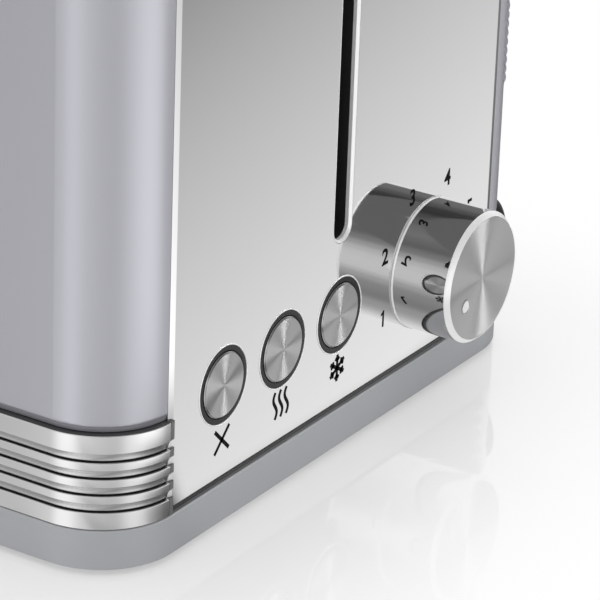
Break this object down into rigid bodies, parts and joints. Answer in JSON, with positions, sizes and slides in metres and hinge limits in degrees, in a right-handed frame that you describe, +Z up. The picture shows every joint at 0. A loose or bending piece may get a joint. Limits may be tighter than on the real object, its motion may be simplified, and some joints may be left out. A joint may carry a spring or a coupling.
{
  "type": "toaster",
  "caption": "Two-slice toaster with a rounded painted body, polished end panels, ribbed lower bands, side-end lever, browning knob and push buttons.",
  "frame": {"origin": "on the floor plane, under the middle of the part's whole length and width", "axes": "+Z up; the front end with the controls faces -Y; the long sides face -X and +X"},
  "size_m": [0.194, 0.3258, 0.2025],
  "materials": {
    "painted_shell": "smooth satin paint",
    "polished_steel": "mirror polish",
    "satin_chrome": "satin plated",
    "spun_steel": "fine rings from turning",
    "grey_plastic": "fine moulded",
    "dark_plastic": "gloss",
    "black_plastic": "matte",
    "foot_rubber": "matte",
    "plated_sheet": "zinc plated",
    "wire_steel": "bright drawn",
    "heater_board": "pressed mineral board",
    "heater_ribbon": "oxidised",
    "circuit_board": "lacquered",
    "coil_copper": "enamelled wire",
    "white_dot": "gloss"
  },
  "bodies": {
    "housing": {"base": "grey_plastic", "rubber_feet": "foot_rubber", "shell_left": "painted_shell", "shell_right": "painted_shell", "band_left": "satin_chrome", "band_right": "satin_chrome", "gaskets": "black_plastic", "front_panel": "polished_steel", "rear_panel": "polished_steel", "top_plate": "polished_steel", "slot_trim": "polished_steel", "lever_slot_liner": "black_plastic", "button_bezels": "dark_plastic", "vent_grille": "painted_shell", "cord_gland": "dark_plastic", "chassis_front": "plated_sheet", "chassis_rear": "plated_sheet", "heat_shield_left": "plated_sheet", "heat_shield_right": "plated_sheet", "heater_board_left": "heater_board", "heater_board_centre": "heater_board", "heater_board_right": "heater_board", "heater_ribbons_left": "heater_ribbon", "heater_ribbons_centre": "heater_ribbon", "heater_ribbons_right": "heater_ribbon", "rod_brackets": "plated_sheet", "guide_rod": "plated_sheet", "return_spring": "wire_steel", "magnet_core": "plated_sheet", "magnet_coil": "coil_copper", "control_board": "circuit_board", "board_posts": "black_plastic", "board_screws": "plated_sheet", "chassis_screws": "plated_sheet", "switch_bodies": "black_plastic", "potentiometer": "black_plastic", "terminal_block": "black_plastic"},
    "lever": {"lever_handle": "polished_steel", "lever_arm": "plated_sheet", "carriage": "plated_sheet", "keeper_plate": "plated_sheet", "bread_rack_left": "wire_steel", "bread_rack_right": "wire_steel"},
    "knob": {"knob_sleeve": "polished_steel", "knob_face": "spun_steel", "knob_dot": "white_dot", "knob_hub": "black_plastic", "control_shaft": "plated_sheet"},
    "cancel_button": {"cancel_button_cap": "spun_steel", "cancel_button_stem": "black_plastic"},
    "reheat_button": {"reheat_button_cap": "spun_steel", "reheat_button_stem": "black_plastic"},
    "defrost_button": {"defrost_button_cap": "spun_steel", "defrost_button_stem": "black_plastic"},
    "guard_left_outer": {"guard_left_outer": "wire_steel"},
    "guard_left_inner": {"guard_left_inner": "wire_steel"},
    "guard_right_inner": {"guard_right_inner": "wire_steel"},
    "guard_right_outer": {"guard_right_outer": "wire_steel"},
    "crumb_tray": {"crumb_tray": "plated_sheet", "tray_handle": "grey_plastic"}
  },
  "joints": [
    {"name": "lever_slide", "type": "slide", "parent": "housing", "child": "lever", "axis": [0, 0, 1], "range_m": [-0.082, 0.008], "stiffness_N_per_m": 30, "springref_m": 0.06, "deforming": ["return_spring"]},
    {"name": "knob_turn", "type": "hinge", "parent": "housing", "child": "knob", "pos_m": [0.0433, -0.13795, 0.0388], "axis": [0, 1, 0], "range_deg": [0, 236]},
    {"name": "cancel_press", "type": "slide", "parent": "housing", "child": "cancel_button", "axis": [0, 1, 0], "range_m": [0, 0.002], "stiffness_N_per_m": 500, "springref_m": -0.001},
    {"name": "reheat_press", "type": "slide", "parent": "housing", "child": "reheat_button", "axis": [0, 1, 0], "range_m": [0, 0.002], "stiffness_N_per_m": 500, "springref_m": -0.001},
    {"name": "defrost_press", "type": "slide", "parent": "housing", "child": "defrost_button", "axis": [0, 1, 0], "range_m": [0, 0.002], "stiffness_N_per_m": 500, "springref_m": -0.001},
    {"name": "guard_left_outer_close", "type": "slide", "parent": "housing", "child": "guard_left_outer", "axis": [1, 0, 0], "range_m": [-0.0005, 0.005]},
    {"name": "guard_left_inner_close", "type": "slide", "parent": "housing", "child": "guard_left_inner", "axis": [-1, 0, 0], "range_m": [-0.0005, 0.005]},
    {"name": "guard_right_inner_close", "type": "slide", "parent": "housing", "child": "guard_right_inner", "axis": [1, 0, 0], "range_m": [-0.0005, 0.005]},
    {"name": "guard_right_outer_close", "type": "slide", "parent": "housing", "child": "guard_right_outer", "axis": [-1, 0, 0], "range_m": [-0.0005, 0.005]},
    {"name": "tray_slide", "type": "slide", "parent": "housing", "child": "crumb_tray", "axis": [0, 1, 0], "range_m": [0, 0.2]}
  ],
  "couplings": [
    {"joint": "guard_left_outer_close", "follows": "lever_slide", "ratio": -0.06},
    {"joint": "guard_left_inner_close", "follows": "lever_slide", "ratio": -0.06},
    {"joint": "guard_right_inner_close", "follows": "lever_slide", "ratio": -0.06},
    {"joint": "guard_right_outer_close", "follows": "lever_slide", "ratio": -0.06}
  ]
}
